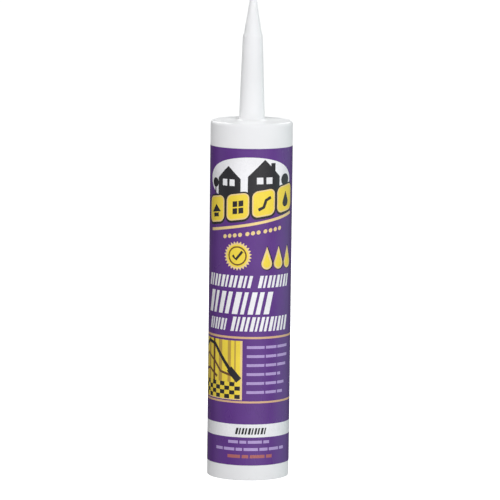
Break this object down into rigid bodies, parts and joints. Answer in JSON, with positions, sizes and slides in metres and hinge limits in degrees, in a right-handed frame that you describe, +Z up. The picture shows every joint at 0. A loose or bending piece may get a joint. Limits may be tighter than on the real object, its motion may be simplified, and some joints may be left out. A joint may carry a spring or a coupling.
{
  "type": "caulk tube",
  "caption": "Plastic caulk cartridge: straight labelled barrel with a closed tapered nozzle moulded on its front and a ribbed plunger that slides in its open rear end.",
  "frame": {"origin": "centre of the open rear rim, on the surface that the cartridge stands on", "axes": "+Z up the barrel's axis towards the nozzle's tip; -Y to the front of the label; +Y to the label's lapped seam"},
  "size_m": [0.0502, 0.0503, 0.293],
  "materials": {
    "cartridge_plastic": "white moulded polyethylene, satin, with faint waviness and turned tool marks",
    "label_film": "glossy printed film, deep purple with white, cream and yellow print",
    "seal_foil": "bright rolled foil",
    "caulk": "smooth white paste, soft sheen",
    "plunger_plastic": "natural milky polyethylene, matt moulded"
  },
  "bodies": {
    "cartridge": {"cartridge_body": "cartridge_plastic", "wrap_label": "label_film", "inner_seal": "seal_foil", "caulk": "caulk"},
    "plunger": {"plunger": "plunger_plastic"}
  },
  "joints": [
    {"name": "plunger_slide", "type": "slide", "parent": "cartridge", "child": "plunger", "axis": [0, 0, 1], "range_m": [0, 0.1737], "deforming": ["caulk"]}
  ]
}
